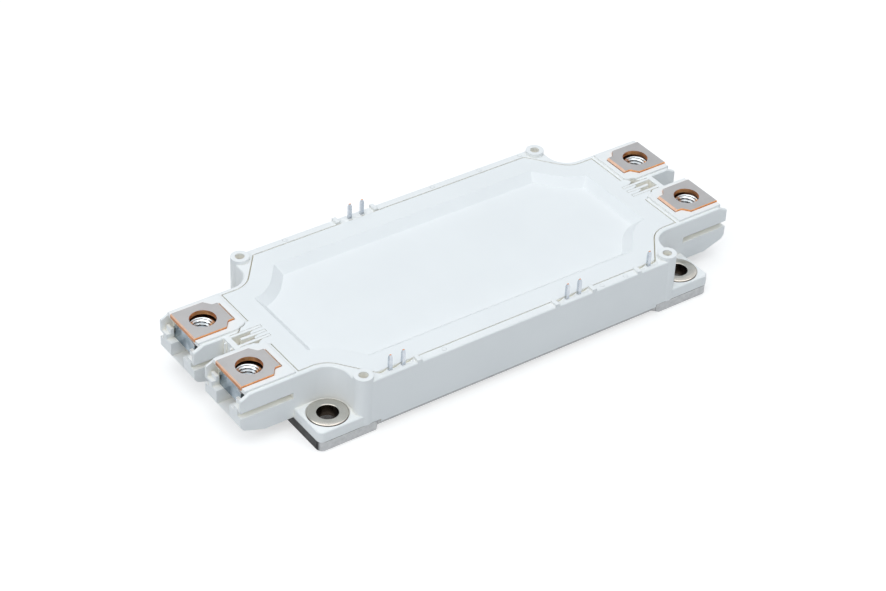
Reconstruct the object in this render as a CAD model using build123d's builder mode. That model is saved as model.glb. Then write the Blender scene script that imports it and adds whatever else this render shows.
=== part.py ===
from build123d import *
from math import asin, cos, degrees, radians, sin
import os

# Half-bridge power semiconductor module with screw terminals at both ends.
# Millimetres. X runs along the module, Z is up, and the origin is the middle of the base plate's underside.
# The back is +Y, the front is -Y, the right end is +X and the left end is -X.

# Fixing points and base plate
mount_pitch_x = 110.0
mount_pitch_y = 50.0
mount_bore_d = 5.5
mount_edge = 6.0
base_thick = 3.0
base_corner_r = 1.8
base_edge = 0.35
tab_length = 17.0
waist_depth = 1.5
waist_corner = 0.7

# Mounting sleeves pressed into the corner ledges
sleeve_wall = 1.05
sleeve_proud = 0.3
flange_thick = 0.65
flange_edge = 0.25
flange_gap = 0.4
seat_gap = 0.2

# Moulded housing frame
glue_thick = 0.1
ledge_top = 6.1
ledge_corner_r = 1.5
cove_r = 5.6
cove_lean = 218.0
edge_break = 0.25
skirt_drop = 0.7
skirt_gap = 0.2
shelf_height = 2.8
shelf_depth = 2.0
shelf_length = 88.0

# Bosses for a circuit board
boss_d = 5.0
boss_bore_d = 2.5
boss_bore_depth = 8.0
boss_inset_x = 7.75
boss_inset_y = 2.25
board_height = 17.0
board_clearance = 1.0

# Lid and its seat in the frame
lid_gap = 0.3
lid_end_inset = 2.2
lid_side_inset = 2.6
lid_cove_inset = 1.5
lid_flange = 1.8
lid_seat = 1.6
lid_floor = 1.6
seal_depth = 1.1
pan_wall = 0.8
recess_depth = 2.15
recess_end = 6.05
recess_side = 6.2
recess_cove = 5.6
recess_run_end = 2.2
recess_run_side = 2.6

# Arms that carry the screw terminals
arm_reach = 15.0
arm_gap = 5.2
arm_bottom = 3.5
arm_tip_floor = 0.6
arm_slope_start = 8.4
arm_nose_run = 2.8
arm_nose_drop = 1.35
arm_nose_edge = 0.8
land_height = 0.5
land_inset = 1.0
land_start = 1.0
groove_drop = 5.0
groove_height = 1.7
groove_depth = 1.7
web_start = 5.0
web_thick = 1.5
web_rib = 0.6
groove_start = 0.2

# Openings in the arm's end
ear_wall = 0.9
ear_step = 1.4
ear_depth = 3.0
nut_gap = 0.1
nut_headroom = 0.6
screw_channel_width = 6.0
screw_channel_height = 3.8
screw_channel_depth = 11.5
latch_length = 0.8
latch_width = 2.4
latch_height = 1.6
latch_setback = 1.0
latch_gap = 0.5

# Creepage bay between the arms, where lid tongues reach between three ribs
bay_depth = 3.5
bay_rib = 0.8
bay_rib_pitch = 2.1
middle_rib_stop = 1.8
bay_half = 5.4
bay_neck = 4.2
bay_throat = 2.7
bay_lip = 1.3
bay_shoulder = 1.0
bay_nip = 0.4
tongue_reach = 0.1
tongue_nip = 0.2
rib_gap = 0.1

# Power terminals
terminal_overhang = 7.5
terminal_hole_d = 6.9
terminal_thick = 1.2
plate_width = 11.8
plate_outward = 5.9
plate_inward = 6.8
neck_width = 7.6
shoulder_start = 3.3
shoulder_end = 4.9
shoulder_r = 1.0
bend_clip = 0.7
sheet_edge = 0.3
bend_edge = 0.5
run_height = 7.4
foot_start = 15.5
foot_length = 4.0
plate_gap = 0.12
insert_gap = 0.02

# Terminal nuts, square, M6
nut_width = 10.0
nut_height = 5.0
nut_bore_d = 5.0
nut_chamfer = 0.6
nut_shift = 0.4

# Signal pins
pin_line_inset = 1.6
pin_pitch = 3.81
pin_width = 0.95
pin_thick = 0.75
pin_reach = 3.5
pin_tip_length = 0.8
pin_taper = 0.2
pin_pad_length = 3.6
front_pins = ((-40.0, 2), (13.9, 2), (40.4, 1))
back_pins = ((-13.25, 2),)
post_width = 1.2
post_height = 0.7
post_step = 4.0
scoop_r = 2.2
scoop_depth = 0.6
scoop_lip = 0.15

# Ceramic substrates and what is soldered to them
tile_count = 3
tile_length = 30.0
tile_width = 42.0
tile_gap = 1.5
tile_margin = 0.7
solder_thick = 0.15
copper_thick = 0.3
ceramic_thick = 0.4
track_width = 2.4
island_gap = 1.0
die_size = 5.0
die_thick = 0.25
die_row_x = 4.0
die_pitch = 7.5
ribbon_width = 3.6
ribbon_thick = 0.2
ribbon_rise = 1.2
ribbon_stitch = 1.2
link_width = 6.0
link_thick = 0.3
link_foot = 2.0
link_rise = 0.8
wire_width = 0.4
wire_stitch = 0.8
wire_rise = 0.8
wire_peak = 0.3
thermistor_length = 2.0
thermistor_width = 1.2
thermistor_height = 0.9
thermistor_inset = 10.0
gel_cover = 0.4
gel_thick = 1.8

# How far a shape runs into the one that it joins or cuts, and how near counts as the same place
overrun = 1.0
near = 0.01

# Places that follow from the sizes above
mount_x = mount_pitch_x / 2
mount_y = mount_pitch_y / 2
end_x = mount_x + mount_edge
side_y = mount_y + mount_edge
waist_y = side_y - waist_depth
tab_x = end_x - tab_length
frame_bottom = base_thick + glue_thick
arm_side = mount_y - cove_r
arm_inner = arm_gap / 2
arm_end = end_x + arm_reach
terminal_x = end_x + terminal_overhang
terminal_y = (arm_side + arm_inner) / 2
arm_half = (arm_side - arm_inner) / 2
frame_top = board_height - board_clearance
boss_x = mount_x - boss_inset_x
boss_y = side_y - boss_inset_y
lid_end = end_x - lid_end_inset
lid_side = side_y - lid_side_inset
lid_cove = cove_r + lid_cove_inset
lid_bottom = frame_top - lid_flange
plate_bottom = board_height - terminal_thick
nut_seat = plate_bottom - nut_headroom - nut_height
ear_floor = nut_seat + ear_step
screw_channel_floor = nut_seat - screw_channel_height
arm_tip_bottom = screw_channel_floor - arm_tip_floor
groove_top = frame_top - groove_drop
groove_bottom = groove_top - groove_height
bay_floor = frame_top - bay_depth
pin_tip = board_height + pin_reach
gel_bottom = run_height + terminal_thick / 2 + gel_cover
web_x = end_x + web_start
latch_y = arm_half - ear_wall - latch_gap - latch_width / 2
flange_r = cove_r - flange_gap
sleeve_r = mount_bore_d / 2 + sleeve_wall
seat_z = ledge_top + sleeve_proud - flange_thick
shelf_top = frame_bottom + shelf_height
pin_y = side_y - pin_line_inset
tile_step = tile_length + tile_gap
ceramic_z = base_thick + solder_thick + copper_thick
circuit_z = ceramic_z + ceramic_thick
circuit_top = circuit_z + copper_thick
tile_x = [(i - (tile_count - 1) / 2) * tile_step for i in range(tile_count)]
ends = {"right": 1, "left": -1}
sides = {"front": -1, "back": 1}

os.makedirs("parts", exist_ok=True)


def cove_quarter(end, side, cove):
    """Quarter of an outline whose corner curves round the mounting hole.

    The end and the side are straight. Between them an arc runs about the mounting hole, and a line leaves
    that arc at a tangent and meets the side.
    """
    tangent_x = mount_x + cove * cos(radians(cove_lean))
    tangent_y = mount_y + cove * sin(radians(cove_lean))
    climb = (side - tangent_y) / -cos(radians(cove_lean))
    corner = (tangent_x + climb * sin(radians(cove_lean)), side)
    short_of_hole = max(0.0, mount_x - end)
    stop = 270.0 - degrees(asin(short_of_hole / cove))
    with BuildSketch() as quarter:
        with BuildLine():
            arc = CenterArc((mount_x, mount_y), cove, cove_lean, stop - cove_lean)
            Polyline((end, (arc @ 1).Y), (end, 0), (0, 0), (0, side), corner, arc @ 0)
            if end > mount_x:
                Line(arc @ 1, (end, (arc @ 1).Y))
        make_face()
    return quarter.sketch


def outward_edges(face):
    """Edges of a quarter's face that lie off its planes of symmetry and off the housing's end."""
    free = face.edges().filter_by(lambda e: min(e.center().X, e.center().Y) > near)
    return free.filter_by(lambda e: e.center().X < end_x - near)


def side_plane(y):
    """Plane that shows the module from the front, with its own origin at depth y."""
    return Plane(origin=(0, y, 0), x_dir=(1, 0, 0), z_dir=(0, -1, 0))


def clipped(*points):
    """Points of a bent path, with each of its bends cut off square to their bisector."""
    path = [Vector(*point) for point in points]
    clips = [path[0]]
    for before, bend, after in zip(path, path[1:], path[2:]):
        clips += [bend + (end - bend).normalized() * bend_clip for end in (before, after)]
    return clips + [path[-1]]


def plate_outline(grow=0.0, open_end=0.0):
    """Face of a back right terminal plate: wide plate, curved shoulders and narrow neck."""
    half = plate_width / 2 + grow
    neck = neck_width / 2 + grow
    outer = terminal_x + plate_outward + open_end
    inner = terminal_x - plate_inward - 2 * grow
    with BuildSketch() as face:
        with BuildLine():
            Polyline(
                (inner, terminal_y),
                (outer, terminal_y),
                (outer, terminal_y + half),
                (terminal_x - shoulder_start, terminal_y + half),
                (terminal_x - shoulder_end, terminal_y + neck),
                (inner, terminal_y + neck),
                close=True,
            )
        make_face()
        shoulder = face.vertices().sort_by_distance((terminal_x - shoulder_end, terminal_y + neck))[0]
        fillet(shoulder, shoulder_r)
        mirror(about=Plane.XZ.offset(-terminal_y))
    return face.sketch


def terminal_strip(grow=0.0):
    """Back right terminal below its plate: leg, run into the cavity and soldered foot."""
    half = neck_width / 2 + grow
    leg_x = terminal_x - plate_inward + terminal_thick / 2
    foot_x = end_x - foot_start
    foot_z = circuit_top + terminal_thick / 2
    with BuildSketch(side_plane(terminal_y + half)) as strip:
        with BuildLine():
            Polyline(
                *clipped(
                    (leg_x, board_height - terminal_thick / 2),
                    (leg_x, run_height),
                    (foot_x, run_height),
                    (foot_x, foot_z),
                    (foot_x - foot_length, foot_z),
                )
            )
        trace(line_width=terminal_thick + 2 * grow)
    return extrude(strip.sketch, amount=2 * half, mode=Mode.PRIVATE)


def pin_strip(x, y_sign, grow=0.0):
    """Signal pin at x, with square ends: upright, bend and the pad that lies on the shelf."""
    half = pin_width / 2 + grow
    pad_z = shelf_top + pin_thick / 2
    with BuildSketch(Plane.YZ.offset(x - half)) as strip:
        with BuildLine():
            Polyline(
                *clipped(
                    (y_sign * pin_y, pin_tip),
                    (y_sign * pin_y, pad_z),
                    (y_sign * (pin_y - pin_pad_length), pad_z),
                )
            )
        trace(line_width=pin_thick + 2 * grow)
    return extrude(strip.sketch, amount=2 * half, mode=Mode.PRIVATE)


def placed(piece, x_sign, y_sign):
    """Copy of a back right piece for the end and side that the signs give."""
    if x_sign < 0:
        piece = piece.mirror(Plane.YZ)
    if y_sign < 0:
        piece = piece.mirror(Plane.XZ)
    return piece


def bay_outline():
    """Back half of the bay in the right-hand end, narrowing towards the web in an S."""
    start = lid_end + lid_gap
    with BuildSketch() as bay:
        with BuildLine():
            Polyline(
                (start, 0),
                (start, bay_half),
                (end_x - bay_lip, bay_half),
                (end_x, bay_neck),
                (end_x + bay_shoulder, bay_neck),
                (end_x + bay_shoulder + bay_neck - bay_throat, bay_throat),
                (web_x, bay_throat),
                (web_x, 0),
                close=True,
            )
        make_face()
        bends = bay.vertices().filter_by(lambda v: end_x - bay_lip - near < v.X < web_x - near)
        chamfer(bends, bay_nip)
    return bay.sketch


def tongue_outlines():
    """Outlines of the lid's tongues in the right-hand bay, from the front one to the back one."""
    root = lid_end - lid_gap
    short = end_x - bay_lip
    long = end_x + tongue_reach
    rib_side = bay_rib / 2 + rib_gap
    edge = bay_rib_pitch + rib_side
    wide = bay_half - rib_gap
    narrow = bay_neck - rib_gap
    tip = end_x + bay_shoulder + bay_neck - bay_throat - lid_gap
    front = (
        (root, -edge),
        (root, -wide),
        (short, -wide),
        (end_x, -narrow),
        (end_x + bay_shoulder - lid_gap, -narrow),
        (tip, -edge),
    )
    middle = [
        (
            (root, y + rib_side),
            (short, y + rib_side),
            (long, y + bay_rib_pitch / 2),
            (long, y + bay_rib_pitch - rib_side),
            (root, y + bay_rib_pitch - rib_side),
        )
        for y in (-bay_rib_pitch, 0)
    ]
    back = (
        (root, edge),
        (short, edge),
        (long, (edge + narrow) / 2),
        (long, narrow),
        (short, wide),
        (root, wide),
    )
    return [front, *middle, back]


def pin_places():
    """Name, place along X and side of every signal pin, from the left end."""
    places = []
    for side, groups in (("front", front_pins), ("back", back_pins)):
        row = [start + i * pin_pitch for start, count in groups for i in range(count)]
        places += [(f"signal_pin_{side}_{n}", x, sides[side]) for n, x in enumerate(row, 1)]
    return places


def post_places():
    """Place along X and side of the small posts that guard each group of pins."""
    places = []
    for side, groups in (("front", front_pins), ("back", back_pins)):
        for start, count in groups:
            stop = start + (count - 1) * pin_pitch
            places += [(x, sides[side]) for x in (start - post_step, stop + post_step)]
    return [(x, y) for x, y in places if abs(x) < boss_x - boss_d]


# Base plate: copper, with full-width tabs at the four corners only
with BuildPart() as base_plate:
    with BuildSketch():
        RectangleRounded(2 * end_x, 2 * side_y, base_corner_r)
        with GridLocations(0, 2 * side_y, 1, 2):
            Rectangle(2 * tab_x, 2 * waist_depth, mode=Mode.SUBTRACT)
    extrude(amount=base_thick)
    waist_edges = base_plate.edges().filter_by(Axis.Z).filter_by(lambda e: abs(e.center().X) < tab_x + near)
    chamfer(waist_edges, waist_corner)
    chamfer(base_plate.faces().sort_by(Axis.Z)[0].edges(), base_edge)
    with GridLocations(mount_pitch_x, mount_pitch_y, 2, 2):
        Hole(mount_bore_d / 2)
base_plate.part.label = "base_plate"
export_step(base_plate.part, "parts/base_plate.step")

# Adhesive bead that seals the frame to the base plate
with BuildPart() as adhesive_bead:
    with BuildSketch(Plane.XY.offset(base_thick)):
        add(cove_quarter(lid_end - lid_gap, lid_side - lid_gap, lid_cove + lid_gap))
        add(cove_quarter(lid_end - lid_seat, lid_side - lid_seat, lid_cove + lid_seat), mode=Mode.SUBTRACT)
    extrude(amount=glue_thick)
    mirror(about=Plane.XZ)
    mirror(about=Plane.YZ)
adhesive_bead.part.label = "adhesive_bead"
export_step(adhesive_bead.part, "parts/adhesive_bead.step")

# Mounting sleeves: tubes with a rounded flange, standing on the base plate
for end, x_sign in ends.items():
    for side, y_sign in sides.items():
        flange_top = seat_z + flange_thick
        with BuildPart() as mounting_sleeve:
            with BuildSketch(side_plane(y_sign * mount_y)):
                with BuildLine():
                    Polyline(
                        (x_sign * mount_x + mount_bore_d / 2, base_thick),
                        (x_sign * mount_x + sleeve_r, base_thick),
                        (x_sign * mount_x + sleeve_r, seat_z),
                        (x_sign * mount_x + flange_r, seat_z),
                        (x_sign * mount_x + flange_r, flange_top),
                        (x_sign * mount_x + mount_bore_d / 2, flange_top),
                        close=True,
                    )
                profile = make_face()
                rim_corner = profile.vertices().sort_by(Axis.X)[-2:].sort_by(Axis.Z)[-1]
                chamfer(rim_corner, flange_edge)
            revolve(axis=Axis((x_sign * mount_x, y_sign * mount_y, 0), (0, 0, 1)))
        mounting_sleeve.part.label = f"mounting_sleeve_{side}_{end}"
        export_step(mounting_sleeve.part, f"parts/mounting_sleeve_{side}_{end}.step")

# Moulded housing frame: the back right quarter, mirrored twice, and then the details of its long rims
with BuildPart() as housing_frame:
    # Corner ledge
    with BuildSketch(Plane.XY.offset(frame_bottom)) as ledge:
        Rectangle(end_x, side_y, align=(Align.MIN, Align.MIN))
        fillet(ledge.vertices().sort_by_distance((end_x, side_y))[0], ledge_corner_r)
    extrude(amount=ledge_top - frame_bottom)
    ledge_rim = housing_frame.faces().sort_by(Axis.Z)[-1].edges()
    chamfer(ledge_rim.filter_by(lambda e: min(e.center().X, e.center().Y) > near), edge_break)
    # Walls, with a cove round the mounting hole
    with BuildSketch(Plane.XY.offset(frame_bottom)):
        with BuildLine():
            cove = CenterArc((mount_x, mount_y), cove_r, 180, 90)
            Polyline(
                cove @ 0,
                (mount_x - cove_r, boss_y),
                (boss_x, side_y),
                (0, side_y),
                (0, 0),
                (end_x, 0),
                (end_x, arm_side),
                cove @ 1,
            )
        make_face()
    walls = extrude(amount=frame_top - frame_bottom, mode=Mode.PRIVATE)
    add(walls.chamfer(edge_break, None, outward_edges(walls.faces().sort_by(Axis.Z)[-1])))
    # Boss for a circuit board screw
    with BuildSketch(Plane.XY.offset(frame_bottom)):
        with Locations((boss_x, boss_y)):
            Circle(boss_d / 2)
    extrude(amount=board_height - frame_bottom)
    # Arm, seen from the side, with its sloping underside and bevelled nose
    with BuildSketch(side_plane(arm_inner)) as arm_side_view:
        with BuildLine():
            Polyline(
                (end_x - overrun, arm_bottom),
                (end_x + arm_slope_start, arm_bottom),
                (arm_end, arm_tip_bottom),
                (arm_end, frame_top - arm_nose_drop),
                (arm_end - arm_nose_run, frame_top),
                (end_x - overrun, frame_top),
                close=True,
            )
        make_face()
        nose = arm_side_view.vertices().sort_by_distance((arm_end, 0, frame_top - arm_nose_drop))[0]
        chamfer(nose, arm_nose_edge)
    arm = extrude(amount=-2 * arm_half, mode=Mode.PRIVATE)
    arm_rim = arm.edges().filter_by(lambda e: e.center().Z > frame_top - arm_nose_drop)
    arm_rim = arm_rim.filter_by(Axis.Y, reverse=True)
    add(arm.chamfer(edge_break, None, arm_rim))
    # Raised land round the terminal plate
    with BuildSketch(Plane.XY.offset(frame_top - arm_nose_drop)):
        with Locations((end_x - land_start, terminal_y)):
            Rectangle(
                arm_end - arm_nose_run + land_start - end_x + land_inset,
                2 * (arm_half - ear_wall),
                align=(Align.MIN, Align.CENTER),
            )
    extrude(amount=arm_nose_drop + land_height)
    # Web that joins the two arms
    with BuildSketch(Plane.XY.offset(arm_bottom)):
        with Locations((end_x - overrun, 0)):
            Rectangle(overrun + web_start + web_thick, arm_inner + overrun, align=(Align.MIN, Align.MIN))
    extrude(amount=frame_top - arm_bottom)
    # Skirt that hides the base plate's waist
    with BuildSketch(Plane.XY.offset(frame_bottom - skirt_drop)):
        with Locations((0, waist_y + skirt_gap)):
            Rectangle(tab_x - waist_corner, waist_depth - skirt_gap, align=(Align.MIN, Align.MIN))
    extrude(amount=skirt_drop)

    # Cavity over the base plate, and the seat for the lid
    with BuildSketch(Plane.XY.offset(frame_bottom)):
        add(cove_quarter(lid_end - lid_seat, lid_side - lid_seat, lid_cove + lid_seat))
    extrude(amount=frame_top - frame_bottom, mode=Mode.SUBTRACT)
    with BuildSketch(Plane.XY.offset(lid_bottom)):
        add(cove_quarter(lid_end + lid_gap, lid_side + lid_gap, lid_cove - lid_gap))
    extrude(amount=board_height, mode=Mode.SUBTRACT)
    # Shelf under the pads of the signal pins
    with BuildSketch(Plane.XY.offset(frame_bottom)):
        with Locations((0, lid_side - lid_seat - shelf_depth)):
            Rectangle(shelf_length / 2, shelf_depth + overrun, align=(Align.MIN, Align.MIN))
    extrude(amount=shelf_height)
    # Seat and hole for the mounting sleeve, and the boss's blind hole
    for radius, bottom in ((flange_r + seat_gap, seat_z), (sleeve_r + insert_gap, 0)):
        with BuildSketch(Plane.XY.offset(bottom)):
            with Locations((mount_x, mount_y)):
                Circle(radius)
        extrude(amount=frame_top, mode=Mode.SUBTRACT)
    with BuildSketch(Plane.XY.offset(board_height - boss_bore_depth)):
        with Locations((boss_x, boss_y)):
            Circle(boss_bore_d / 2)
    extrude(amount=boss_bore_depth, mode=Mode.SUBTRACT)

    # The arm's end, from the top down: open end, room under the land, nut pocket, channel for a screw's tip
    land_end = arm_end - arm_nose_run + land_inset
    nut_room = nut_width / 2 + nut_gap
    end_cuts = (
        (land_end, arm_half - ear_wall, ear_floor, board_height),
        (arm_end - ear_depth, arm_half - ear_wall, ear_floor, plate_bottom - land_inset / 2),
        (terminal_x - nut_room, nut_room, nut_seat, plate_bottom),
        (arm_end - screw_channel_depth, screw_channel_width / 2, screw_channel_floor, nut_seat),
    )
    for start, half, bottom, top in end_cuts:
        with BuildSketch(Plane.XY.offset(bottom)):
            with Locations((start, terminal_y)):
                Rectangle(arm_end + overrun - start, 2 * half, align=(Align.MIN, Align.CENTER))
        extrude(amount=top - bottom, mode=Mode.SUBTRACT)
    # Latch noses that keep the nut in
    with BuildSketch(Plane.XY.offset(ear_floor)):
        with Locations((arm_end - latch_setback - latch_length / 2, terminal_y)):
            with GridLocations(0, 2 * latch_y, 1, 2):
                Rectangle(latch_length, latch_width)
    extrude(amount=latch_height)
    # Beds of the terminal's plate and of its leg and run
    with BuildSketch(Plane.XY.offset(plate_bottom)):
        add(plate_outline(plate_gap, arm_end))
    extrude(amount=board_height, mode=Mode.SUBTRACT)
    add(terminal_strip(insert_gap), mode=Mode.SUBTRACT)
    # Grooves along both sides of the arm
    with BuildSketch(Plane.XY.offset(groove_bottom)):
        with Locations((end_x + groove_start, arm_side - groove_depth)):
            Rectangle(arm_reach, groove_depth + overrun, align=(Align.MIN, Align.MIN))
        with Locations((web_x + web_thick, 0)):
            Rectangle(arm_reach, arm_inner + groove_depth, align=(Align.MIN, Align.MIN))
    extrude(amount=groove_top - groove_bottom, mode=Mode.SUBTRACT)
    # Bay between the arms, with its ribs
    with BuildSketch(Plane.XY.offset(bay_floor)):
        add(bay_outline())
    extrude(amount=frame_top, mode=Mode.SUBTRACT)
    with BuildSketch(Plane.XY.offset(bay_floor)):
        rib_start = lid_end - lid_seat
        with Locations((rib_start, bay_rib_pitch)):
            Rectangle(web_x + web_thick / 2 - rib_start, bay_rib, align=(Align.MIN, Align.CENTER))
        with Locations((rib_start, 0)):
            Rectangle(web_x - middle_rib_stop - rib_start, bay_rib / 2, align=(Align.MIN, Align.MIN))
    extrude(amount=frame_top - bay_floor)
    with BuildSketch(Plane.XY.offset(arm_bottom)):
        with Locations((web_x + web_thick, arm_inner / 2)):
            Rectangle(2 * web_rib, web_rib)
    extrude(amount=frame_top - arm_bottom - web_rib)
    mirror(about=Plane.XZ)
    mirror(about=Plane.YZ)
    # Long rims: scoops beside the pins, posts beyond each group, and the beds of the moulded-in pins
    rim_y = (lid_side + lid_gap + side_y) / 2
    rim_width = side_y - lid_side - lid_gap
    dish_z = frame_top + scoop_r - scoop_depth
    lip_r = scoop_r - scoop_depth - scoop_lip
    outward = (Align.CENTER, Align.CENTER, Align.MIN)
    for _, x, y_sign in pin_places():
        dish = Location((x, y_sign * (lid_side + lid_gap), dish_z), (-90 * y_sign, 0, 0))
        with Locations(dish):
            with GridLocations(pin_pitch, 0, 2, 1):
                Cone(scoop_r, lip_r, rim_width, align=outward, mode=Mode.SUBTRACT)
    for x, y_sign in post_places():
        with BuildSketch(Plane.XY.offset(lid_bottom)):
            with Locations((x, y_sign * rim_y)):
                Rectangle(post_width, rim_width)
        extrude(amount=lid_flange + post_height)
    for _, x, y_sign in pin_places():
        add(pin_strip(x, y_sign, insert_gap), mode=Mode.SUBTRACT)
housing_frame.part.label = "housing_frame"
export_step(housing_frame.part, "parts/housing_frame.step")

# Lid: a flange that lies on the frame's seat, tongues into the bays, and a sunken middle
with BuildPart() as lid:
    with BuildSketch(Plane.XY.offset(lid_bottom)) as flange:
        add(cove_quarter(lid_end, lid_side, lid_cove))
        mirror(about=Plane.XZ)
        mirror(about=Plane.YZ)
        with PolarLocations(0, 2):
            for tongue in tongue_outlines():
                Polygon(*tongue, align=None)
        tips = flange.vertices().filter_by(lambda v: abs(v.X) > lid_end + lid_gap)
        chamfer(tips, tongue_nip)
        slot = (arm_reach, bay_rib + 2 * rib_gap)
        with PolarLocations(0, 2):
            with Locations((lid_end - lid_seat - rib_gap, 0)):
                with GridLocations(0, bay_rib_pitch, 1, 3):
                    Rectangle(*slot, align=(Align.MIN, Align.CENTER), mode=Mode.SUBTRACT)
    extrude(amount=lid_flange)
    floor_z = frame_top - recess_depth
    rim = (lid_end - recess_end, lid_side - recess_side, lid_cove + recess_cove)
    floor = (rim[0] - recess_run_end, rim[1] - recess_run_side, rim[2] + recess_run_side)
    for z, (end, side, cove_size) in ((lid_bottom, rim), (floor_z - lid_floor, floor)):
        with BuildSketch(Plane.XY.offset(z)):
            add(cove_quarter(end + pan_wall, side + pan_wall, cove_size - pan_wall))
            mirror(about=Plane.XZ)
            mirror(about=Plane.YZ)
    loft(ruled=True)
    for z, (end, side, cove_size) in ((frame_top, rim), (floor_z, floor)):
        with BuildSketch(Plane.XY.offset(z)):
            add(cove_quarter(end, side, cove_size))
            mirror(about=Plane.XZ)
            mirror(about=Plane.YZ)
    loft(ruled=True, mode=Mode.SUBTRACT)
lid.part.label = "lid"
export_step(lid.part, "parts/lid.step")

# Seal that fills the joint between the lid and the frame, on both sides of each bay
with BuildPart() as lid_seal:
    with BuildSketch(Plane.XY.offset(lid_bottom)):
        add(cove_quarter(lid_end + lid_gap, lid_side + lid_gap, lid_cove - lid_gap))
        add(cove_quarter(lid_end, lid_side, lid_cove), mode=Mode.SUBTRACT)
        with Locations((lid_end, 0)):
            Rectangle(2 * lid_gap, 2 * bay_half, mode=Mode.SUBTRACT)
    extrude(amount=seal_depth)
    mirror(about=Plane.XZ)
    mirror(about=Plane.YZ)
lid_seal.part.label = "lid_seal"
export_step(lid_seal.part, "parts/lid_seal.step")

# Power terminals: a plate with a screw hole, turned down at its neck and led in to a soldered foot
with BuildPart() as back_right_terminal:
    with BuildSketch(Plane.XY.offset(plate_bottom)):
        add(plate_outline())
        with Locations((terminal_x, terminal_y)):
            Circle(terminal_hole_d / 2, mode=Mode.SUBTRACT)
    extrude(amount=terminal_thick)
    outer_edge = back_right_terminal.edges().filter_by(Axis.Y).group_by(Axis.X)[-1].sort_by(Axis.Z)[-1]
    chamfer(outer_edge, sheet_edge)
    bend = back_right_terminal.edges().filter_by(Axis.Y).group_by(Axis.X)[0].sort_by(Axis.Z)[-1]
    chamfer(bend, bend_edge)
    add(terminal_strip())
for end, x_sign in ends.items():
    for side, y_sign in sides.items():
        with BuildPart() as power_terminal:
            add(placed(back_right_terminal.part, x_sign, y_sign))
        power_terminal.part.label = f"power_terminal_{side}_{end}"
        export_step(power_terminal.part, f"parts/power_terminal_{side}_{end}.step")

# Terminal nuts, loose in their pockets and a little out towards the latch noses
with BuildPart() as back_right_nut:
    with BuildSketch(Plane.XY.offset(nut_seat)):
        with Locations((terminal_x + nut_shift, terminal_y)):
            Rectangle(nut_width, nut_width)
            Circle(nut_bore_d / 2, mode=Mode.SUBTRACT)
    extrude(amount=nut_height)
    chamfer(back_right_nut.faces().sort_by(Axis.Z)[-1].edges(), nut_chamfer)
for end, x_sign in ends.items():
    for side, y_sign in sides.items():
        with BuildPart() as terminal_nut:
            add(placed(back_right_nut.part, x_sign, y_sign))
        terminal_nut.part.label = f"terminal_nut_{side}_{end}"
        export_step(terminal_nut.part, f"parts/terminal_nut_{side}_{end}.step")

# Signal pins, moulded into the long walls
for name, x, y_sign in pin_places():
    with BuildPart() as signal_pin:
        add(pin_strip(x, y_sign))
        tip = signal_pin.faces().sort_by(Axis.Z)[-1]
        chamfer(tip.edges(), pin_taper, pin_tip_length, reference=tip)
    signal_pin.part.label = name
    export_step(signal_pin.part, f"parts/{name}.step")

# Substrates: solder, back copper, ceramic and the circuit side of etched copper
circuit_half = tile_width / 2 - tile_margin
track_y = circuit_half - track_width / 2
island_width = circuit_half - track_width - island_gap - island_gap / 2
island_y = island_gap / 2 + island_width / 2
for number, x in enumerate(tile_x, 1):
    layers = (
        ("substrate_solder", base_thick, solder_thick, tile_margin),
        ("substrate_back_copper", base_thick + solder_thick, copper_thick, tile_margin),
        ("substrate_ceramic", ceramic_z, ceramic_thick, 0.0),
    )
    for layer, z, thick, margin in layers:
        with BuildPart() as substrate_layer:
            with BuildSketch(Plane.XY.offset(z)):
                with Locations((x, 0)):
                    Rectangle(tile_length - 2 * margin, tile_width - 2 * margin)
            extrude(amount=thick)
        substrate_layer.part.label = f"{layer}_{number}"
        export_step(substrate_layer.part, f"parts/{layer}_{number}.step")
    with BuildPart() as circuit_copper:
        with BuildSketch(Plane.XY.offset(circuit_z)):
            with Locations((x, 0)):
                with GridLocations(0, 2 * island_y, 1, 2):
                    Rectangle(tile_length - 2 * tile_margin, island_width)
                with GridLocations(0, 2 * track_y, 1, 2):
                    Rectangle(tile_length - 2 * tile_margin, track_width)
        extrude(amount=copper_thick)
    circuit_copper.part.label = f"circuit_copper_{number}"
    export_step(circuit_copper.part, f"parts/circuit_copper_{number}.step")

# Dies: in each column a transistor and a Schottky diode stand on the same copper island
inner_die_y = island_y - die_pitch / 2
outer_die_y = island_y + die_pitch / 2
for number, x in enumerate(tile_x, 1):
    for kind, die_y in (("transistor_dies", inner_die_y), ("schottky_diode_dies", outer_die_y)):
        with BuildPart() as dies:
            with BuildSketch(Plane.XY.offset(circuit_top)):
                with Locations((x, 0)):
                    with GridLocations(2 * die_row_x, 2 * die_y, 2, 2):
                        Rectangle(die_size, die_size)
            extrude(amount=die_thick)
        dies.part.label = f"{kind}_{number}"
        export_step(dies.part, f"parts/{kind}_{number}.step")

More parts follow.
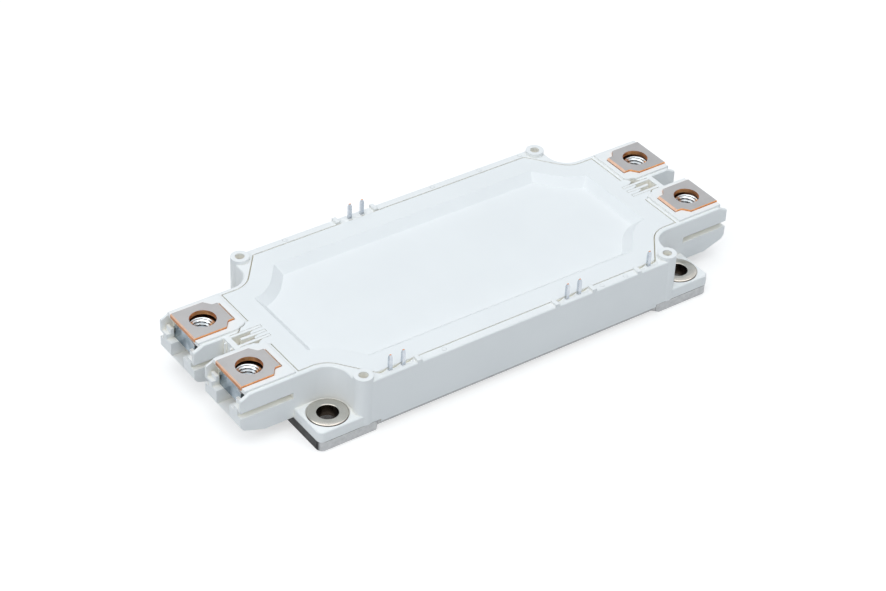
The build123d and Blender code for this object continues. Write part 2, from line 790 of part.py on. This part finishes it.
# Bond ribbons: from the outer die over the inner one to the next copper
die_z = circuit_top + die_thick + ribbon_thick / 2
copper_z = circuit_top + ribbon_thick / 2
half_stitch = ribbon_stitch / 2
island_foot = -(island_gap / 2 + inner_die_y - die_size / 2) / 2
back_hops = ((outer_die_y, die_z), (inner_die_y, die_z), (island_foot, copper_z))
track_foot = -(track_y - track_width / 4)
front_hops = ((-inner_die_y, die_z), (-outer_die_y, die_z), (track_foot, copper_z))
for number, x in enumerate(tile_x, 1):
    with BuildPart() as bond_ribbons:
        for ribbon_x in (x - die_row_x, x + die_row_x):
            for hops in (back_hops, front_hops):
                with BuildSketch(Plane.YZ.offset(ribbon_x - ribbon_width / 2)):
                    with BuildLine():
                        route = []
                        for y, z in hops:
                            if route:
                                route.append(((route[-1][0] + y + half_stitch) / 2, die_z + ribbon_rise))
                            route += [(y + half_stitch, z), (y - half_stitch, z)]
                        Polyline(*route)
                    trace(line_width=ribbon_thick)
                extrude(amount=ribbon_width)
    bond_ribbons.part.label = f"bond_ribbons_{number}"
    export_step(bond_ribbons.part, f"parts/bond_ribbons_{number}.step")

# Links that carry the current of each island to the next substrate
with BuildPart() as substrate_links:
    link_z = circuit_top + link_thick / 2
    hop = tile_gap / 2 + tile_margin
    for x in tile_x[1:]:
        middle = x - tile_step / 2
        for y in (-island_y, island_y):
            with BuildSketch(side_plane(y + link_width / 2)):
                with BuildLine():
                    Polyline(
                        (middle - hop - link_foot, link_z),
                        (middle - hop, link_z),
                        (middle - hop / 2, link_z + link_rise),
                        (middle + hop / 2, link_z + link_rise),
                        (middle + hop, link_z),
                        (middle + hop + link_foot, link_z),
                    )
                trace(line_width=link_thick)
            extrude(amount=link_width)
substrate_links.part.label = "substrate_links"
export_step(substrate_links.part, "parts/substrate_links.step")

# Signal wires: from each pin's pad to the outer track of the nearest substrate
track_reach = tile_length / 2 - tile_margin - wire_width
pad_y = (pin_y - pin_pad_length + lid_side - lid_seat) / 2
foot_y = track_y + track_width / 4
for name, x, y_sign in pin_places():
    tile = min(tile_x, key=lambda middle: abs(middle - x))
    foot_x = min(max(x, tile - track_reach), tile + track_reach)
    pad = Vector(x, y_sign * pad_y, shelf_top + pin_thick + wire_width / 2)
    foot = Vector(foot_x, y_sign * foot_y, circuit_top + wire_width / 2)
    span = Vector(foot.X - pad.X, foot.Y - pad.Y)
    across = span.normalized().rotate(Axis.Z, -90)
    with BuildPart() as signal_wire:
        with BuildSketch(Plane(origin=pad - across * wire_width / 2, x_dir=span, z_dir=across)):
            with BuildLine():
                Polyline(
                    (-wire_stitch / 2, 0),
                    (wire_stitch / 2, 0),
                    (span.length * wire_peak, wire_rise),
                    (span.length - wire_stitch / 2, foot.Z - pad.Z),
                    (span.length + wire_stitch / 2, foot.Z - pad.Z),
                )
            trace(line_width=wire_width)
        extrude(amount=wire_width)
    wire_name = name.replace("pin", "wire")
    signal_wire.part.label = wire_name
    export_step(signal_wire.part, f"parts/{wire_name}.step")

# Thermistor, on the front track of the right-hand substrate
with BuildPart() as thermistor:
    with BuildSketch(Plane.XY.offset(circuit_top)):
        with Locations((tile_x[-1] - thermistor_inset, -track_y)):
            Rectangle(thermistor_length, thermistor_width)
    extrude(amount=thermistor_height)
thermistor.part.label = "thermistor"
export_step(thermistor.part, "parts/thermistor.step")

# Silicone gel: its upper layer, from wall to wall over the circuit
with BuildPart() as silicone_gel:
    with BuildSketch(Plane.XY.offset(gel_bottom)):
        add(cove_quarter(lid_end - lid_seat, lid_side - lid_seat, lid_cove + lid_seat))
        mirror(about=Plane.XZ)
        mirror(about=Plane.YZ)
    extrude(amount=gel_thick)
silicone_gel.part.label = "silicone_gel"
export_step(silicone_gel.part, "parts/silicone_gel.step")
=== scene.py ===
from math import cos, pi, radians, sin, tan

import bpy
from mathutils import Matrix, Vector


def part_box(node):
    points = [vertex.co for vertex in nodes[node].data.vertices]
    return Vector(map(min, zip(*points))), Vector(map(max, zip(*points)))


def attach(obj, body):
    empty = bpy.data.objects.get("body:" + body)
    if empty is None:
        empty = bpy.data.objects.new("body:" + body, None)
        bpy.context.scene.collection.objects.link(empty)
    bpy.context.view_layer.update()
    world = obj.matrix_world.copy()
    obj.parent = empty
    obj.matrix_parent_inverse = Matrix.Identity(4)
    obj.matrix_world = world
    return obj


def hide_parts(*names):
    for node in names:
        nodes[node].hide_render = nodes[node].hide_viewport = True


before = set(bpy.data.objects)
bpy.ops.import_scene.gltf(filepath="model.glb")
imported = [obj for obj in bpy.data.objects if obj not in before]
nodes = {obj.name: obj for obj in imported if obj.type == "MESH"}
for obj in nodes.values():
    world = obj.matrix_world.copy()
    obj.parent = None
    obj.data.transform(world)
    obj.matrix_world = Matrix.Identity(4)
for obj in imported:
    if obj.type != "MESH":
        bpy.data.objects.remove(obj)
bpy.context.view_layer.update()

MM = 0.001
MICRON = 0.001 * MM
WHITE = (1, 1, 1, 1)


# Node helpers

HOLLOW_SAMPLES = 8
BEVEL_SAMPLES = 6


def new_material(name, metallic=0.0, roughness=0.5, specular=0.5):
    """Material with a Principled shader. Returns it with its node tree and that shader."""
    material = bpy.data.materials.new(name)
    material.use_nodes = True
    shader = material.node_tree.nodes["Principled BSDF"]
    shader.inputs["Metallic"].default_value = metallic
    shader.inputs["Roughness"].default_value = roughness
    shader.inputs["Specular IOR Level"].default_value = specular
    return material, material.node_tree, shader


def add_node(tree, kind, **inputs):
    """Node of a kind, with its inputs set by name."""
    node = tree.nodes.new("ShaderNode" + kind)
    for key, value in inputs.items():
        node.inputs[key.replace("_", " ")].default_value = value
    return node


def noise(tree, scale, detail=3.0, roughness=0.55):
    """Noise factor, in object space, with features of about 1/scale metres."""
    place = add_node(tree, "TexCoord")
    texture = add_node(tree, "TexNoise", Scale=scale, Detail=detail, Roughness=roughness)
    tree.links.new(place.outputs["Object"], texture.inputs["Vector"])
    return texture.outputs["Fac"]


def ramp(tree, factor, dark, light, low=0.3, high=0.7):
    """Colour that goes from dark to light while a factor goes from low to high."""
    node = add_node(tree, "ValToRGB")
    for stop, position, colour in zip(node.color_ramp.elements, (low, high), (dark, light)):
        stop.position = position
        stop.color = (*colour, 1)
    tree.links.new(factor, node.inputs["Fac"])
    return node.outputs["Color"]


def mix(tree, factor, first, second):
    """Mix of two colours, each given as a socket or a colour."""
    node = add_node(tree, "Mix")
    node.data_type = "RGBA"
    tree.links.new(factor, node.inputs[0])
    for socket, value in ((node.inputs[6], first), (node.inputs[7], second)):
        if isinstance(value, tuple):
            socket.default_value = (*value, 1)
        else:
            tree.links.new(value, socket)
    return node.outputs[2]


def mix_shaders(tree, factor, first, second):
    """Mix of the outputs of two shader nodes."""
    node = add_node(tree, "MixShader")
    tree.links.new(factor, node.inputs[0])
    tree.links.new(first.outputs[0], node.inputs[1])
    tree.links.new(second.outputs[0], node.inputs[2])
    return node


def calculate(tree, operation, *values, clamp=False):
    """Result of a maths operation on one or two sockets."""
    node = add_node(tree, "Math")
    node.operation = operation
    node.use_clamp = clamp
    for value, socket in zip(values, node.inputs):
        tree.links.new(value, socket)
    return node.outputs[0]


def remap(tree, factor, low, high, to_low=0.0, to_high=1.0):
    """Factor that goes from to_low to to_high while the given one goes from low to high."""
    node = add_node(tree, "MapRange", From_Min=low, From_Max=high, To_Min=to_low, To_Max=to_high)
    tree.links.new(factor, node.inputs["Value"])
    return node.outputs["Result"]


def facing(tree, axis, low, high):
    """Factor that is 1 on faces whose object-space normal lies along an axis, and 0 on others."""
    place = add_node(tree, "TexCoord")
    parts = add_node(tree, "SeparateXYZ")
    tree.links.new(place.outputs["Normal"], parts.inputs["Vector"])
    return remap(tree, calculate(tree, "ABSOLUTE", parts.outputs[axis]), low, high)


def hollowness(tree, distance, low, high, alone=False):
    """Factor that is 0 deep in a hollow and 1 in the open, by what lies within a distance.

    Where alone is set, only the piece itself counts, and not its neighbours.
    """
    hollow = add_node(tree, "AmbientOcclusion", Distance=distance)
    hollow.samples = HOLLOW_SAMPLES
    hollow.only_local = alone
    return remap(tree, hollow.outputs["AO"], low, high)


def gloss(tree, shader, factor, low, high):
    """Roughness that goes from low to high with a factor."""
    tree.links.new(remap(tree, factor, 0.0, 1.0, low, high), shader.inputs["Roughness"])


def bump(tree, shader, factor, height, bevel=0.0):
    """Bump of a height, over softened edges where a bevel radius is given."""
    node = add_node(tree, "Bump", Strength=1.0, Distance=height)
    tree.links.new(factor, node.inputs["Height"])
    if bevel:
        edge = add_node(tree, "Bevel", Radius=bevel)
        edge.samples = BEVEL_SAMPLES
        tree.links.new(edge.outputs["Normal"], node.inputs["Normal"])
    tree.links.new(node.outputs["Normal"], shader.inputs["Normal"])


# Kinds of surface

# Reaches of the hollowness: crevices in the plastic get painted light, and holes in the metals
# painted shade
CREVICE_REACH = 5 * MM
HOLE_REACH = 8 * MM
PLASTIC_EDGE = 0.16 * MM
PLASTIC_GRAIN_HEIGHT = 12 * MICRON
METAL_GRAIN_HEIGHT = 4 * MICRON


def plastic(name, shade, light, painted_crevice_light):
    """Matte white moulded plastic, a little mottled, with painted light in crevices, which are
    coloured warmer and lighter for the light that bounces in them.
    """
    material, tree, shader = new_material(name, roughness=0.48, specular=0.42)
    mottle = noise(tree, 60.0, detail=2.0)
    sheen = noise(tree, 900.0, detail=4.0)
    grain = noise(tree, 5000.0, detail=2.0)
    body = ramp(tree, mottle, shade, light, low=0.35, high=0.65)
    # Painted light: in crevices a warmer, lighter colour takes the place of the body colour
    colour = mix(tree, hollowness(tree, CREVICE_REACH, 0.25, 0.7), painted_crevice_light, body)
    tree.links.new(colour, shader.inputs["Base Color"])
    gloss(tree, shader, sheen, 0.42, 0.56)
    bump(tree, shader, grain, PLASTIC_GRAIN_HEIGHT, bevel=PLASTIC_EDGE)
    return material


def plated(name, dark, light, roughness):
    """Plated metal with a faint cloudy tone, a fine grain and an uneven gloss."""
    material, tree, shader = new_material(name, metallic=1.0, roughness=roughness)
    cloud = noise(tree, 140.0)
    sheen = noise(tree, 700.0)
    grain = noise(tree, 2500.0)
    tree.links.new(ramp(tree, cloud, dark, light), shader.inputs["Base Color"])
    gloss(tree, shader, sheen, roughness * 0.8, roughness * 1.25)
    bump(tree, shader, grain, METAL_GRAIN_HEIGHT)
    return material


def facing_tones_and_painted_light(
    name, level, upright, band, roughness, end=None, painted_hole_shade=None, deep=(0.1, 0.4), alone=False
):
    """Metal with a pair of tones, dark and light, for level faces and one for upright ones.

    The band says how level a face is where it turns from upright to level. On the terminals and
    pins the two are the metals' own colours; on the base plate, sleeves and nuts they are painted
    light and shade, lighter on level faces and darker on upright ones. A further pair of tones may
    be given for faces to +X and -X, which is painted shade, and a colour for the inside of holes,
    which is painted shade too. It sets in over the deep range of hollowness, which counts
    neighbours unless alone is set.
    """
    material, tree, shader = new_material(name, metallic=1.0, roughness=roughness)
    cloud = noise(tree, 220.0)
    speckle = noise(tree, 900.0, detail=4.0)
    sheen = noise(tree, 1200.0)
    grain = noise(tree, 4000.0)
    upright_look = ramp(tree, speckle, *upright)
    # Painted shade: faces to +X and -X take the darker end tones
    if end:
        blotch = noise(tree, 300.0, detail=4.0)
        end_look = ramp(tree, blotch, *end, low=0.35)
        upright_look = mix(tree, facing(tree, "X", 0.75, 0.95), upright_look, end_look)
    # Level faces take the level tones and upright ones the upright tones; on the base plate,
    # sleeves and nuts this is painted light and shade
    colour = mix(tree, facing(tree, "Z", *band), upright_look, ramp(tree, cloud, *level))
    # Painted shade: the inside of holes takes a dark colour
    if painted_hole_shade:
        colour = mix(tree, hollowness(tree, HOLE_REACH, *deep, alone), painted_hole_shade, colour)
    tree.links.new(colour, shader.inputs["Base Color"])
    gloss(tree, shader, sheen, roughness * 0.85, roughness * 1.2)
    bump(tree, shader, grain, METAL_GRAIN_HEIGHT)
    return material


def dull(name, dark, light, roughness=0.6):
    """Plain non-metal with a little variation in its tone."""
    material, tree, shader = new_material(name, roughness=roughness)
    cloud = noise(tree, 800.0)
    tree.links.new(ramp(tree, cloud, dark, light), shader.inputs["Base Color"])
    return material


# Materials, each with its darker tone first

frame_plastic = plastic(
    "frame_plastic",
    shade=(0.845, 0.87, 0.885),
    light=(0.86, 0.885, 0.90),
    # Painted light: the crevice colour is warmer and lighter than the body
    painted_crevice_light=(0.97, 0.95, 0.885),
)
lid_plastic = plastic(
    "lid_plastic",
    shade=(0.83, 0.86, 0.88),
    light=(0.845, 0.875, 0.895),
    # Painted light: the crevice colour is warmer and lighter than the body
    painted_crevice_light=(0.92, 0.915, 0.87),
)
# Painted light and shade: level faces lighter, upright faces darker, end faces near black and holes
# dark
base_nickel = facing_tones_and_painted_light(
    "base_nickel",
    level=((0.49, 0.50, 0.51), (0.54, 0.55, 0.56)),
    upright=((0.38, 0.39, 0.40), (0.48, 0.49, 0.50)),
    band=(0.8, 0.95),
    roughness=0.34,
    end=((0.018, 0.018, 0.019), (0.06, 0.06, 0.062)),
    painted_hole_shade=(0.04, 0.032, 0.026),
    deep=(0.5, 0.9),
    alone=True,
)
# Painted light and shade: a bright level top and rims, near-black tube sides and a dark bore
sleeve_nickel = facing_tones_and_painted_light(
    "sleeve_nickel",
    level=((0.63, 0.61, 0.56), (0.74, 0.71, 0.66)),
    upright=((0.08, 0.06, 0.045), (0.16, 0.12, 0.09)),
    band=(0.3, 0.6),
    roughness=0.2,
    painted_hole_shade=(0.04, 0.032, 0.026),
)
# Painted light and shade: a light crown, darker sides, darker still to +X and -X, and a dark bore
zinc = facing_tones_and_painted_light(
    "zinc",
    level=((0.58, 0.63, 0.67), (0.74, 0.78, 0.81)),
    upright=((0.30, 0.36, 0.41), (0.50, 0.56, 0.60)),
    band=(0.3, 0.7),
    roughness=0.16,
    end=((0.18, 0.23, 0.27), (0.34, 0.40, 0.45)),
    painted_hole_shade=(0.07, 0.09, 0.11),
)
# Nickel top and copper sides are the plate's own colours; its darker ends and darker hole are
# painted shade
terminal_plate = facing_tones_and_painted_light(
    "terminal_plate",
    level=((0.445, 0.445, 0.455), (0.49, 0.49, 0.50)),
    upright=((0.84, 0.35, 0.13), (1.0, 0.57, 0.28)),
    band=(0.55, 0.85),
    roughness=0.38,
    end=((0.42, 0.18, 0.08), (0.58, 0.27, 0.12)),
    painted_hole_shade=(0.42, 0.15, 0.045),
)
# Copper on top and tin on the sides, both the pin's own colours
pin_tin = facing_tones_and_painted_light(
    "pin_tin",
    level=((0.66, 0.27, 0.11), (0.80, 0.36, 0.16)),
    upright=((0.50, 0.54, 0.60), (0.64, 0.67, 0.71)),
    band=(0.85, 0.95),
    roughness=0.26,
)
olive_seal = dull("olive_seal", (0.54, 0.52, 0.40), (0.62, 0.60, 0.48))
grey_silicone = dull("grey_silicone", (0.52, 0.52, 0.49), (0.60, 0.60, 0.57))
solder_grey = plated("solder_grey", (0.50, 0.51, 0.52), (0.62, 0.63, 0.64), 0.4)
bare_copper = plated("bare_copper", (0.75, 0.39, 0.23), (0.87, 0.49, 0.31), 0.35)
ceramic_white = dull("ceramic_white", (0.80, 0.80, 0.77), (0.86, 0.86, 0.83))
die_grey = dull("die_grey", (0.20, 0.22, 0.25), (0.27, 0.29, 0.32), 0.3)
bond_aluminium = plated("bond_aluminium", (0.70, 0.71, 0.72), (0.82, 0.83, 0.84), 0.3)
thermistor_dark = dull("thermistor_dark", (0.11, 0.11, 0.12), (0.16, 0.16, 0.17))
clear_gel = dull("clear_gel", (0.80, 0.83, 0.84), (0.84, 0.87, 0.88), 0.1)

# The first start that fits a node's name gives its material
node_looks = (
    ("base_plate", base_nickel),
    ("adhesive_bead", grey_silicone),
    ("mounting_sleeve", sleeve_nickel),
    ("housing_frame", frame_plastic),
    ("lid_seal", olive_seal),
    ("lid", lid_plastic),
    ("power_terminal", terminal_plate),
    ("terminal_nut", zinc),
    ("signal_pin", pin_tin),
    ("substrate_solder", solder_grey),
    ("substrate_back_copper", bare_copper),
    ("substrate_ceramic", ceramic_white),
    ("substrate_links", bare_copper),
    ("circuit_copper", bare_copper),
    ("transistor_dies", die_grey),
    ("schottky_diode_dies", die_grey),
    ("bond_ribbons", bond_aluminium),
    ("signal_wire", bond_aluminium),
    ("thermistor", thermistor_dark),
    ("silicone_gel", clear_gel),
)
for node_name, thing in nodes.items():
    look = next(material for start, material in node_looks if node_name.startswith(start))
    thing.data.materials.clear()
    thing.data.materials.append(look)


# Turned pieces, in place of the plainer CAD ones: threaded nuts, and sleeves with rounded rims

THREAD_PITCH = 1.0 * MM
THREAD_DEPTH = 0.4 * MM
THREAD_FLANK = 2.4
NUT_CHAMFER = 0.6 * MM
NUT_EDGE = 0.12 * MM
CROWN_INSET = 0.25 * MM
CROWN_SLOPE = tan(radians(30))
NUT_AROUND = 96
NUT_ALONG = 60

SLEEVE_BORE_R = 2.75 * MM
SLEEVE_TUBE_R = 3.8 * MM
FLANGE_THICK = 0.65 * MM
FLANGE_ROUND = 0.32 * MM
MOUTH_ROUND = 0.24 * MM
SLEEVE_AROUND = 128
ROUND_STEPS = 6

# Faces that meet at more than this angle keep a sharp edge
SHARP_ANGLE = radians(30)


def nut_section(turn, half, height):
    """Section of a square nut at an angle: threaded bore, turned crown and side."""
    core = half / 2
    crown = half - CROWN_INSET
    outer = half / cos((turn + pi / 4) % (pi / 2) - pi / 4)
    section = []
    for k in range(NUT_ALONG + 1):
        z = height * k / NUT_ALONG
        phase = (z / THREAD_PITCH - turn / (2 * pi)) % 1.0
        groove = THREAD_DEPTH * min(1.0, THREAD_FLANK * min(phase, 1 - phase))
        mouth = max(0.0, NUT_CHAMFER - z, z - height + NUT_CHAMFER)
        section.append((core + max(groove, mouth), z))
    return section + [
        (crown, height),
        (outer, height - (outer - crown) * CROWN_SLOPE),
        (outer, NUT_EDGE),
        (outer - NUT_EDGE, 0.0),
    ]


def sleeve_section(turn, half, height):
    """Section of a sleeve, the same at every angle: tube and flange, with rounded rims."""
    steps = [pi / 2 * k / ROUND_STEPS for k in range(ROUND_STEPS + 1)]
    mouth_x, mouth_z = SLEEVE_BORE_R + MOUTH_ROUND, height - MOUTH_ROUND
    rim_x, rim_z = half - FLANGE_ROUND, height - FLANGE_ROUND
    return [
        (SLEEVE_BORE_R, 0.0),
        *((mouth_x - MOUTH_ROUND * cos(a), mouth_z + MOUTH_ROUND * sin(a)) for a in steps),
        *((rim_x + FLANGE_ROUND * sin(a), rim_z + FLANGE_ROUND * cos(a)) for a in steps),
        (half, height - FLANGE_THICK),
        (SLEEVE_TUBE_R, height - FLANGE_THICK),
        (SLEEVE_TUBE_R, 0.0),
    ]


def turned(name, node_name, section_at, around, look):
    """Ring of sections about the upright axis of a CAD node, in that node's box."""
    low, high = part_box(node_name)
    middle = (low + high) / 2
    points = []
    for i in range(around):
        turn = 2 * pi * i / around
        section = section_at(turn, (high.x - low.x) / 2, high.z - low.z)
        for r, z in section:
            points.append((middle.x + r * cos(turn), middle.y + r * sin(turn), low.z + z))
    ring = len(section)
    faces = []
    for i in range(around):
        here = i * ring
        beside = (i + 1) % around * ring
        for k in range(ring):
            above = (k + 1) % ring
            faces.append((here + k, here + above, beside + above, beside + k))
    mesh = bpy.data.meshes.new(name)
    mesh.from_pydata(points, [], faces)
    mesh.validate()
    mesh.materials.append(look)
    mesh.shade_smooth()
    mesh.set_sharp_from_angle(angle=SHARP_ANGLE)
    piece = bpy.data.objects.new(name, mesh)
    bpy.context.scene.collection.objects.link(piece)
    return piece


for node_name in sorted(nodes):
    if node_name.startswith("terminal_nut"):
        nut_name = node_name.replace("terminal", "threaded")
        nut = turned(nut_name, node_name, nut_section, NUT_AROUND, zinc)
        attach(nut, "root")
        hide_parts(node_name)
    if node_name.startswith("mounting_sleeve"):
        sleeve_name = node_name.replace("mounting", "rounded")
        sleeve = turned(sleeve_name, node_name, sleeve_section, SLEEVE_AROUND, sleeve_nickel)
        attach(sleeve, "root")
        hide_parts(node_name)


# Ejector marks: faint discs on the long rims, at these places in millimetres along each

RIM_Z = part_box("lid")[1].z
RIM_Y = 29.85 * MM
MARK_R = 0.65 * MM
MARK_TOP_R = 0.9 * MARK_R
MARK_HEIGHT = 0.03 * MM
MARK_AROUND = 48
FRONT_MARKS = (-24.3, 24.9, 32.5)
BACK_MARKS = (-33.0, 13.6, 29.2, 42.9)

for side, marks in ((-1, FRONT_MARKS), (1, BACK_MARKS)):
    for x in marks:
        bpy.ops.mesh.primitive_cone_add(
            vertices=MARK_AROUND,
            radius1=MARK_R,
            radius2=MARK_TOP_R,
            depth=MARK_HEIGHT,
            location=(x * MM, side * RIM_Y, RIM_Z + MARK_HEIGHT / 2),
        )
        mark = bpy.context.object
        mark.name = f"ejector_mark_{'back' if side > 0 else 'front'}_{round(abs(x))}"
        mark.data.materials.append(frame_plastic)
        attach(mark, "root")


# Floor: plain and pale to the object, and lifted to white for the camera and in reflections

FLOOR_RADIUS = 3.0
FLOOR_AROUND = 96
# A hair above the base plate's underside, so that a view from below shows that face, not the floor
FLOOR_RISE = 0.02 * MM
FLOOR_TONES = ((0.60, 0.60, 0.605), (0.62, 0.62, 0.62))
# The lift is low near the object, where its shadow stays, and rises between these distances
LIFT_DISTANCES = (0.25, 1.2)
LIFTS = (0.5, 0.95)

bpy.ops.mesh.primitive_circle_add(
    vertices=FLOOR_AROUND, radius=FLOOR_RADIUS, fill_type="NGON", location=(0, 0, FLOOR_RISE)
)
floor = bpy.context.object
floor.name = "floor"
floor_material, tree, shader = new_material("floor_white", roughness=0.9, specular=0.1)
floor_tone = ramp(tree, noise(tree, 3.0, detail=2.0), *FLOOR_TONES)
tree.links.new(floor_tone, shader.inputs["Base Color"])
path = add_node(tree, "LightPath")
seen = calculate(tree, "MAXIMUM", path.outputs["Is Camera Ray"], path.outputs["Is Glossy Ray"])
place = add_node(tree, "TexCoord")
away = add_node(tree, "VectorMath")
away.operation = "LENGTH"
tree.links.new(place.outputs["Object"], away.inputs[0])
lift = remap(tree, away.outputs["Value"], *LIFT_DISTANCES, *LIFTS)
glow = add_node(tree, "Emission", Color=WHITE)
tree.links.new(calculate(tree, "MULTIPLY", seen, lift), glow.inputs["Strength"])
both = add_node(tree, "AddShader")
tree.links.new(shader.outputs[0], both.inputs[0])
tree.links.new(glow.outputs[0], both.inputs[1])
tree.links.new(both.outputs[0], tree.nodes["Material Output"].inputs["Surface"])
floor.data.materials.append(floor_material)


# World: a pale blue sky that lights the object, and plain white for the camera

SKY_COLOUR = (0.68, 0.86, 1.0, 1)
SKY_STRENGTH = 0.28
# Reflections see a white world low down, and a dimmer one overhead, where the large lamp adds light
DIM_HEIGHTS = (0.58, 0.95)
DIM_STRENGTHS = (1.0, 0.2)

world = bpy.data.worlds.new("studio")
bpy.context.scene.world = world
world.use_nodes = True
tree = world.node_tree
sky = tree.nodes["Background"]
sky.inputs["Color"].default_value = SKY_COLOUR
sky.inputs["Strength"].default_value = SKY_STRENGTH
white = add_node(tree, "Background", Color=WHITE, Strength=1.0)
path = add_node(tree, "LightPath")
straight = (path.outputs["Is Camera Ray"], path.outputs["Is Transmission Ray"])
plain = mix_shaders(tree, calculate(tree, "ADD", *straight, clamp=True), sky, white)
place = add_node(tree, "TexCoord")
parts = add_node(tree, "SeparateXYZ")
tree.links.new(place.outputs["Generated"], parts.inputs["Vector"])
reflected = add_node(tree, "Background", Color=WHITE)
dimmed = remap(tree, parts.outputs["Z"], *DIM_HEIGHTS, *DIM_STRENGTHS)
tree.links.new(dimmed, reflected.inputs["Strength"])
choice = mix_shaders(tree, path.outputs["Is Glossy Ray"], plain, reflected)
tree.links.new(choice.outputs[0], tree.nodes["World Output"].inputs["Surface"])


# Lamps: a large one overhead for even light, and weak ones to the left and in front


def direction(azimuth, elevation):
    """Unit vector from the module, given in radians round from -Y towards -X, and up."""
    return Vector((
        -sin(azimuth) * cos(elevation),
        -cos(azimuth) * cos(elevation),
        sin(elevation),
    ))


def softbox(name, azimuth, elevation, distance, size, strength, colour=(1, 1, 1)):
    """Square area lamp that looks at the module from a direction, given in degrees."""
    away = direction(radians(azimuth), radians(elevation))
    lamp = bpy.data.lights.new(name, "AREA")
    lamp.size = size
    lamp.energy = strength
    lamp.color = colour
    holder = bpy.data.objects.new(name, lamp)
    bpy.context.scene.collection.objects.link(holder)
    holder.location = away * distance
    holder.rotation_euler = away.to_track_quat("Z", "Y").to_euler()


softbox(
    "overhead",
    azimuth=60.0,
    elevation=80.0,
    distance=1.5,
    size=3.2,
    strength=39.5,
    colour=(1.0, 0.98, 0.955),
)
softbox("left", azimuth=75.0, elevation=28.0, distance=1.1, size=0.7, strength=1.0)
softbox("front", azimuth=-10.0, elevation=24.0, distance=1.1, size=0.7, strength=0.3)


# Camera, fitted to the photograph

AZIMUTH = radians(36.6003)
ELEVATION = radians(36.6640)
ROLL = radians(2.6381)
DISTANCE = 0.593094
TARGET = Vector((-5.867, -3.516, 8.376)) * MM
FOCAL_PIXELS = 2299.402
IMAGE_WIDTH = 886
SENSOR = 36.0

back = direction(AZIMUTH, ELEVATION)
level_right = (-back).cross(Vector((0, 0, 1))).normalized()
level_up = level_right.cross(-back)
right = level_right * cos(ROLL) + level_up * sin(ROLL)
up = level_up * cos(ROLL) - level_right * sin(ROLL)
camera_data = bpy.data.cameras.new("camera")
camera_data.sensor_width = SENSOR
camera_data.lens = FOCAL_PIXELS * SENSOR / IMAGE_WIDTH
camera = bpy.data.objects.new("camera", camera_data)
bpy.context.scene.collection.objects.link(camera)
turn = Matrix((right, up, back)).transposed()
camera.matrix_world = Matrix.Translation(TARGET + back * DISTANCE) @ turn.to_4x4()
bpy.context.scene.camera = camera
bpy.context.scene.view_settings.view_transform = "Standard"
